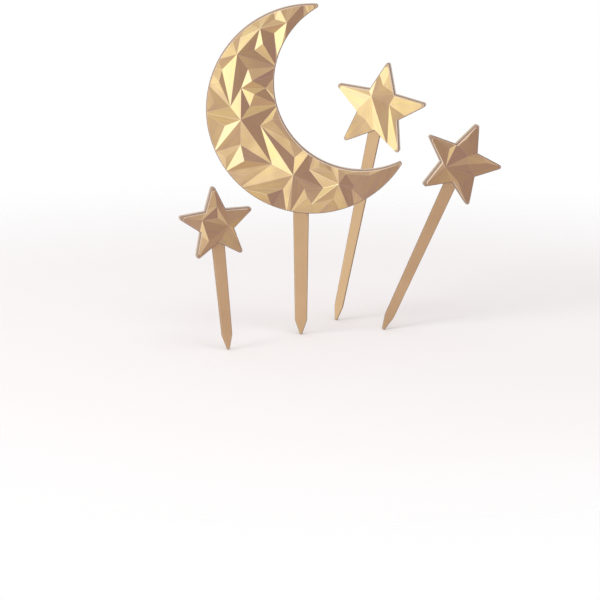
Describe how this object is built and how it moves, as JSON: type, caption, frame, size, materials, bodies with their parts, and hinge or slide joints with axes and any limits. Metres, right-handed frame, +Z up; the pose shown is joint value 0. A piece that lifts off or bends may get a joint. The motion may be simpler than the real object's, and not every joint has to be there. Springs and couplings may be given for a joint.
{
  "type": "cake topper",
  "caption": "Gold faceted crescent moon and pointed stars, each a head that plugs on the tang of a flat tapered pick, which is pushed into a cake.",
  "frame": {"origin": "middle of the moon's pick at the level where it enters the cake's top", "axes": "+X to the right as seen from the front, +Y away from the viewer, +Z up along the moon's pick"},
  "size_m": [0.1572, 0.0751, 0.1635],
  "materials": {
    "gold_head": "metallised champagne gold, satin",
    "gold_pick": "metallised champagne gold, duller than the heads"
  },
  "bodies": {
    "picks": {"moon_pick": "gold_pick", "large_star_pick": "gold_pick", "medium_star_pick": "gold_pick", "small_star_pick": "gold_pick"},
    "moon": {"moon_head": "gold_head"},
    "large_star": {"large_star_head": "gold_head"},
    "medium_star": {"medium_star_head": "gold_head"},
    "small_star": {"small_star_head": "gold_head"}
  },
  "joints": [
    {"name": "moon_pull_off", "type": "slide", "parent": "picks", "child": "moon", "axis": [0, 0, 1], "range_m": [0, 0.02]},
    {"name": "large_star_pull_off", "type": "slide", "parent": "picks", "child": "large_star", "axis": [0.1917, -0.0407, 0.9806], "range_m": [0, 0.016]},
    {"name": "medium_star_pull_off", "type": "slide", "parent": "picks", "child": "medium_star", "axis": [0.4134, 0.0879, 0.9063], "range_m": [0, 0.016]},
    {"name": "small_star_pull_off", "type": "slide", "parent": "picks", "child": "small_star", "axis": [-0.0896, -0.0223, 0.9957], "range_m": [0, 0.016]}
  ]
}
